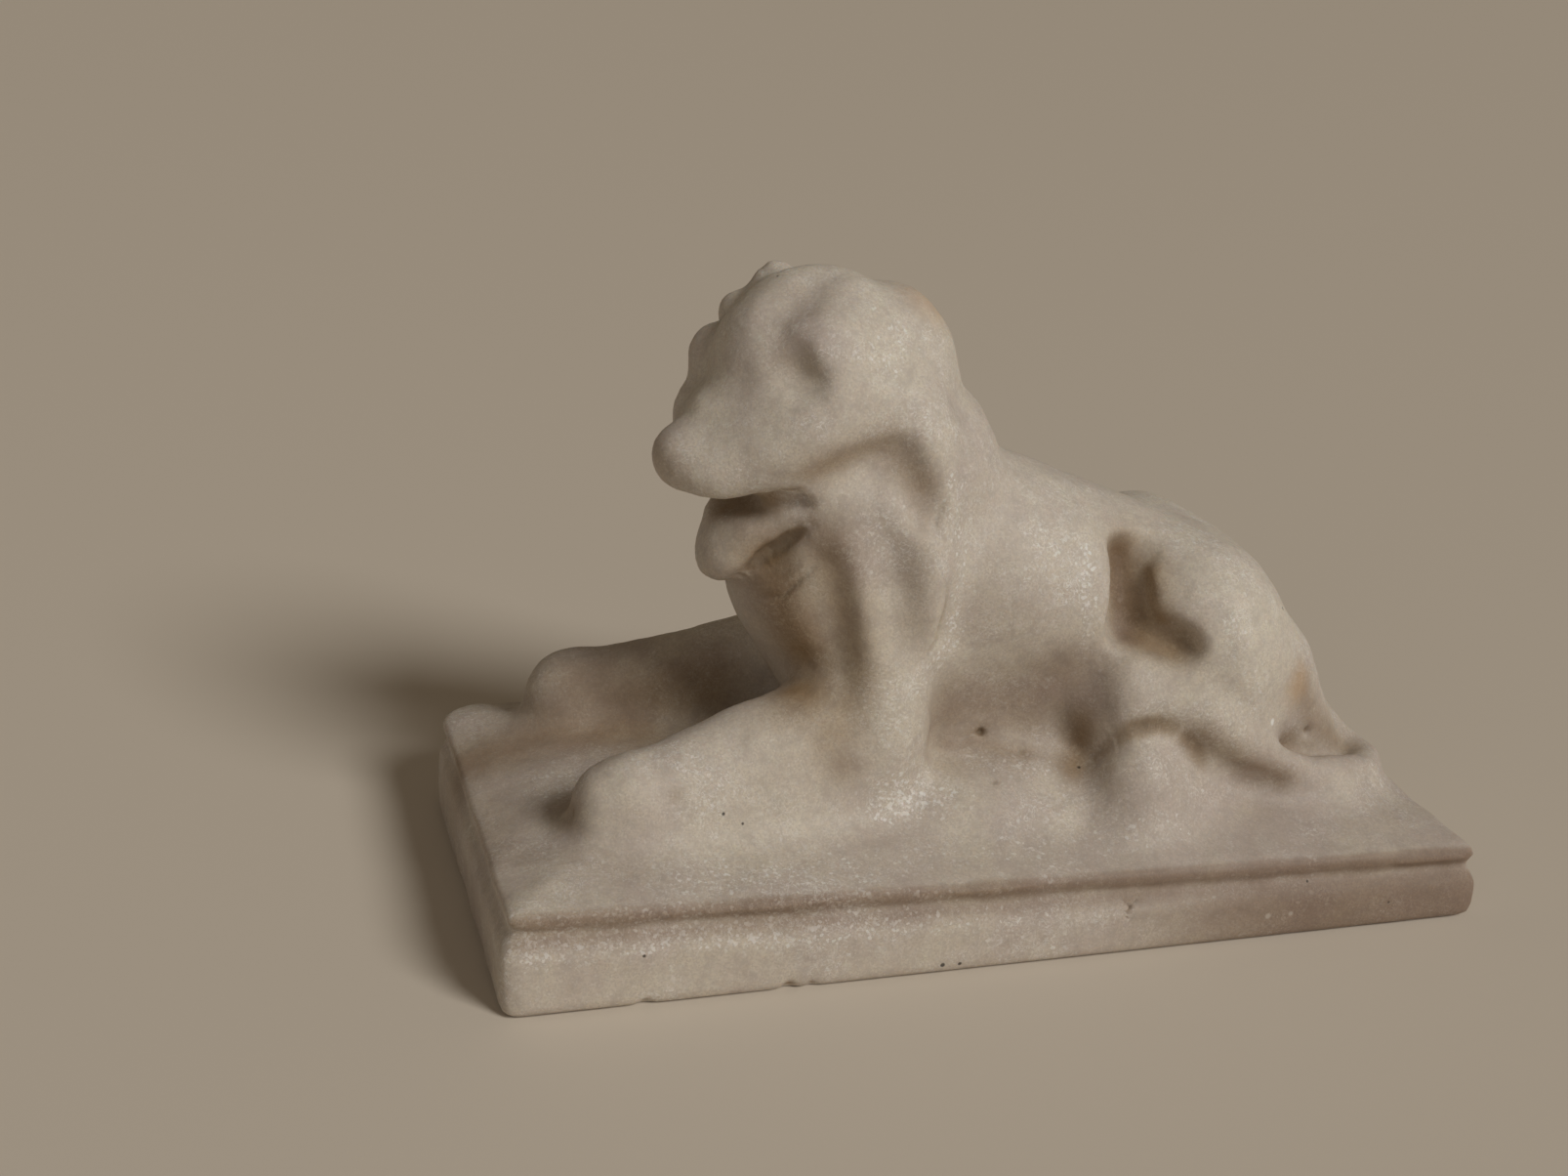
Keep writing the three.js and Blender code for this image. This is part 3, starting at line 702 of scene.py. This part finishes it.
def alabaster(colours):
    material = bpy.data.materials.new("worn alabaster")
    material.use_nodes = True
    tree = material.node_tree
    tree.nodes.clear()
    place = add_node(tree, "ShaderNodeTexCoord").outputs["Object"]
    scaled = add_node(tree, "ShaderNodeVectorMath", {"operation": "SCALE"})
    feed(tree, scaled.inputs[0], place)
    feed(tree, scaled.inputs["Scale"], 1 / MM)
    mm = scaled.outputs[0]
    axes = add_node(tree, "ShaderNodeSeparateXYZ", {}, {"Vector": mm})
    x, y, z = [axes.outputs[name] for name in "XYZ"]
    patchy = cloud(tree, mm, PATCHY)

    near_wall = step_between(tree, y, WALL_START, WALL_FULL)
    lip_height = calculate(tree, "SUBTRACT", LIP_MIDDLE, times(tree, x, LIP_FALL))
    below_lip = calculate(tree, "SUBTRACT", lip_height, z)
    along_wall = step_between(tree, x, 5.0, 50.0)
    veiled_height = step_between(tree, below_lip, 7.0, 3.0)
    wall_veil = times(tree, near_wall, step_between(tree, x, 20.0, -30.0), veiled_height, 0.7)
    veil = most(tree, [wall_veil, layer_value(tree, "veil")])

    stone = darker_grains(tree, mm, stone_clouds(tree, mm, patchy, colours), colours)
    dusted, shining = crystals(tree, mm, veil)
    frosted = blend_colour(tree, dusted, stone, opaque(colours.crystal))
    sugared = blend_colour(tree, shining, frosted, opaque(colours.crystal))
    # Brown painted shade in the hollows and under the lip, partly grime in the hollows.
    brown_and_shade = brown_and_shade_share(tree, near_wall, below_lip, along_wall, patchy)
    browned_and_shaded = blend_colour(tree, brown_and_shade, sugared, opaque(colours.brown_and_shade), "MULTIPLY")
    # Mauve stone tone, and painted shade under the lip, on the pocket's rim and on the low flank.
    mauve_and_shade = mauve_and_shade_share(tree, near_wall, below_lip, along_wall, z)
    mauve_shaded = blend_colour(tree, mauve_and_shade, browned_and_shaded, opaque(colours.mauve_and_shade), "MULTIPLY")
    rusty = most(tree, [near_place(tree, mm, centre, 0.0, reach) for centre, reach in STAINS])
    stained = blend_colour(tree, times(tree, rusty, 0.4), mauve_shaded, opaque(colours.rust))
    soot_and_pit_shade = soot_and_pit_shade_share(tree, mm)
    finished = blend_colour(tree, times(tree, soot_and_pit_shade, 0.85), stained, opaque(colours.soot_and_pit_shade))

    rough = calculate(tree, "ADD", 0.52, times(tree, patchy, 0.16))
    rough = calculate(tree, "SUBTRACT", rough, times(tree, shining, 0.25))
    fine = cloud(tree, mm, FINE)
    height = calculate(tree, "ADD", times(tree, fine, 0.8), times(tree, shining, 0.3))
    height = calculate(tree, "SUBTRACT", height, soot_and_pit_shade)
    bump = add_node(tree, "ShaderNodeBump", {}, {"Strength": 0.45, "Distance": 0.25 * MM, "Height": height})

    shader = add_node(tree, "ShaderNodeBsdfPrincipled", {}, {
        "Base Color": finished,
        "Roughness": rough,
        "Normal": bump.outputs["Normal"],
        "IOR": 1.52,
        "Subsurface Weight": 0.3,
        "Subsurface Radius": (1.0, 0.62, 0.36),
        "Subsurface Scale": 1.6 * MM,
        "Specular IOR Level": 0.35,
    })
    output = add_node(tree, "ShaderNodeOutputMaterial")
    tree.links.new(shader.outputs["BSDF"], output.inputs["Surface"])
    return material


def plain_material(name, colour, roughness):
    material = bpy.data.materials.new(name)
    material.use_nodes = True
    shader = material.node_tree.nodes["Principled BSDF"]
    shader.inputs["Base Color"].default_value = opaque(colour)
    shader.inputs["Roughness"].default_value = roughness
    return material


def laid_marks(mesh):
    """The marks' places, moved to the nearest places on the surface."""
    tree = surface_tree(mesh, read_points(mesh))

    def lay(spot):
        return np.array(tree.find_nearest(Vector(spot))[0])

    lines = []
    for line, width, depth in LINE_MARKS.values():
        ends = np.array(line, dtype=float)
        spots = [a + (b - a) * s / LINE_STEPS for a, b in zip(ends, ends[1:]) for s in range(LINE_STEPS)]
        spots.append(ends[-1])
        lines.append(([lay(spot) for spot in spots], width, depth))
    dots = [(lay(spot), width, depth) for spot, width, depth in SPOT_MARKS.values()]
    return lines, dots


def mark_depth(points, marks):
    """How far the marks press into the surface at each point, in millimetres."""
    lines, dots = marks
    total = np.zeros(len(points))
    for line, width, depth in lines:
        gap, share = along_line(points, line)
        taper = np.sin(np.pi * np.clip(share, 0.04, 0.96)) ** 0.5
        total += depth * taper * np.exp(-((gap / width) ** 2))
    for spot, width, depth in dots:
        total += depth * np.exp(-((np.linalg.norm(points - spot, axis=1) / width) ** 2))
    return total


def tint(points, tints):
    """Strength of the strongest tint at each point."""
    total = np.zeros(len(points))
    for line, width, strength in tints.values():
        gap = along_line(points, line)[0]
        total = np.maximum(total, strength * np.exp(-((gap / width) ** 2)))
    return total


def refine(mesh, marks):
    """Splits the faces around the marks, so that the marks come out crisp."""
    near = mark_depth(read_points(mesh), marks) > LEAST_MARK
    form = bmesh.new()
    form.from_mesh(mesh)
    edges = [e for e in form.edges if near[e.verts[0].index] and near[e.verts[1].index]]
    bmesh.ops.subdivide_edges(form, edges=edges, cuts=1, use_grid_fill=True)
    form.to_mesh(mesh)
    form.free()


def weather(piece):
    """Presses the marks into the surface and writes the layers that the material reads."""
    mesh = piece.data
    marks = laid_marks(mesh)
    for _ in range(MARK_SPLITS):
        refine(mesh, marks)
    points = read_points(mesh)
    depth = mark_depth(points, marks)
    points -= read_normals(mesh) * depth[:, None]
    low, high = [np.array(corner) / MM for corner in cad_box]
    points = np.clip(points, low, high)
    write_points(mesh, points)
    normals = read_normals(mesh)
    edges = read_edges(mesh)
    hidden = shelter(mesh, points, normals, SHELTER_REACH, SHELTER_RAYS)
    sheltered = spread(edges, hidden, SHELTER_BLUR)
    # Painted shade: brown where nearby stone hides the sky and in the floors of the pressed marks, also
    # standing for brown grime gathered in those hollows.
    settled_brown_and_shade = np.maximum(0.7 * softstep(sheltered, 0.1, 0.8), 0.75 * softstep(depth, 0.15, 0.8))
    # Painted shade and shadow along the listed lines, a little stronger where the stone is sheltered.
    shaded = tint(points, PAINTED_SHADE_AND_BROWN) * (0.8 + 0.2 * softstep(sheltered, 0.06, 0.3))
    write_layer(mesh, "settled_brown_and_shade", np.maximum(settled_brown_and_shade, shaded))
    # Mauve stone tone and painted shade along the listed lines.
    write_layer(mesh, "mauve_and_shade", tint(points, MAUVE_AND_PAINTED_SHADE))
    write_layer(mesh, "veil", tint(points, VEILS))
    # Floors of the deepest marks, for painted shade and dark specks there.
    write_layer(mesh, "pit", softstep(depth, 0.5, 1.0))


class LION_OT_stone(bpy.types.Operator):
    """Makes the worn stone around the carved solid"""

    bl_idname = "lion.stone"
    bl_label = "Worn stone"

    def execute(self, context):
        sizes = context.scene.lion_sizes
        stone = merged_copy("worn_stone", STONE_NODE)
        remesh(stone, sizes.voxel, sizes.wear_passes)
        open_air = stone.vertex_groups.new(name="open air")
        heights = read_points(stone.data)[:, 2]
        for index, weight in enumerate(softstep(heights, 0.2, 2.0)):
            open_air.add([index], float(weight), "REPLACE")
        swell(stone, "carver's swells", sizes.swell_size, sizes.swell_height, 1)
        swell(stone, "worn ripples", sizes.ripple_size, sizes.ripple_height, 2)
        apply_modifiers(stone)
        stone.vertex_groups.clear()
        weather(stone)
        stone.data.materials.clear()
        stone.data.materials.append(alabaster(context.scene.lion_colours))
        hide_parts(STONE_NODE)
        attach(stone, "root")
        return {"FINISHED"}


class LION_OT_stage(bpy.types.Operator):
    """Makes the floor, the lights and the camera"""

    bl_idname = "lion.stage"
    bl_label = "Stage"

    def execute(self, context):
        stage = context.scene.lion_stage
        make_floor(stage)
        make_lights(context.scene, stage)
        make_camera(context.scene, stage)
        return {"FINISHED"}


def make_floor(stage):
    form = bmesh.new()
    bmesh.ops.create_grid(form, x_segments=1, y_segments=1, size=FLOOR_REACH)
    mesh = bpy.data.meshes.new("floor")
    form.to_mesh(mesh)
    form.free()
    floor = show("floor", mesh)
    mesh.materials.append(plain_material("pale floor", stage.floor_colour, FLOOR_ROUGHNESS))


def make_lamp(name, place, target, size, power, colour):
    lamp = bpy.data.lights.new(name, "AREA")
    lamp.shape = "DISK"
    lamp.size = size
    lamp.energy = power
    lamp.color = colour
    holder = bpy.data.objects.new(name, lamp)
    bpy.context.scene.collection.objects.link(holder)
    way = (Vector(target) - Vector(place)).to_track_quat("-Z", "Y")
    holder.matrix_world = Matrix.Translation(place) @ way.to_matrix().to_4x4()


def make_lights(scene, stage):
    sun = bpy.data.lights.new("key", "SUN")
    sun.energy = stage.key_power
    sun.angle = math.radians(KEY_SPREAD)
    sun.color = KEY_TINT
    holder = bpy.data.objects.new("key", sun)
    scene.collection.objects.link(holder)
    holder.rotation_euler = Vector(KEY_WAY).to_track_quat("-Z", "Y").to_euler()
    make_lamp("fill", FILL_PLACE, FILL_TARGET, FILL_SIZE, stage.fill_power, FILL_TINT)
    world = bpy.data.worlds.new("studio")
    world.use_nodes = True
    sky = world.node_tree.nodes["Background"]
    sky.inputs["Color"].default_value = opaque(SKY_TINT)
    sky.inputs["Strength"].default_value = stage.sky_strength
    scene.world = world
    scene.view_settings.view_transform = "Standard"


def make_camera(scene, stage):
    lens = bpy.data.cameras.new("camera")
    lens.sensor_width = SENSOR_WIDTH
    lens.lens = stage.camera_lens
    lens.clip_start = NEAREST_SEEN
    turn, dip, roll = [math.radians(v) for v in (stage.camera_turn, stage.camera_dip, stage.camera_roll)]
    forward = Vector((math.sin(turn) * math.cos(dip), math.cos(turn) * math.cos(dip), -math.sin(dip)))
    right = forward.cross(Vector((0, 0, 1))).normalized()
    up = right.cross(forward)
    leaning_right = right * math.cos(roll) + up * math.sin(roll)
    leaning_up = up * math.cos(roll) - right * math.sin(roll)
    axes = Matrix((leaning_right, leaning_up, -forward)).transposed().to_4x4()
    camera = bpy.data.objects.new("camera", lens)
    scene.collection.objects.link(camera)
    camera.matrix_world = Matrix.Translation(stage.camera_place) @ axes
    scene.camera = camera


class LION_PT_panel(bpy.types.Panel):
    """Lists the pieces and the sizes and colours they are made from"""

    bl_idname = "LION_PT_panel"
    bl_label = "Alabaster lion"
    bl_space_type = "VIEW_3D"
    bl_region_type = "UI"
    bl_category = "Lion"

    def draw(self, context):
        layout = self.layout
        for operator in (LION_OT_stone, LION_OT_stage):
            layout.operator(operator.bl_idname)
        for group in (context.scene.lion_sizes, context.scene.lion_colours, context.scene.lion_stage):
            box = layout.box()
            for name in group.__annotations__:
                box.prop(group, name)


CLASSES = (StoneSizes, StoneColours, StageSettings, LION_OT_stone, LION_OT_stage, LION_PT_panel)


def register():
    for item in CLASSES:
        bpy.utils.register_class(item)
    bpy.types.Scene.lion_sizes = PointerProperty(type=StoneSizes)
    bpy.types.Scene.lion_colours = PointerProperty(type=StoneColours)
    bpy.types.Scene.lion_stage = PointerProperty(type=StageSettings)


def unregister():
    del bpy.types.Scene.lion_stage
    del bpy.types.Scene.lion_colours
    del bpy.types.Scene.lion_sizes
    for item in reversed(CLASSES):
        bpy.utils.unregister_class(item)


def main():
    register()
    bpy.ops.lion.stone()
    bpy.ops.lion.stage()


if __name__ == "__main__":
    main()
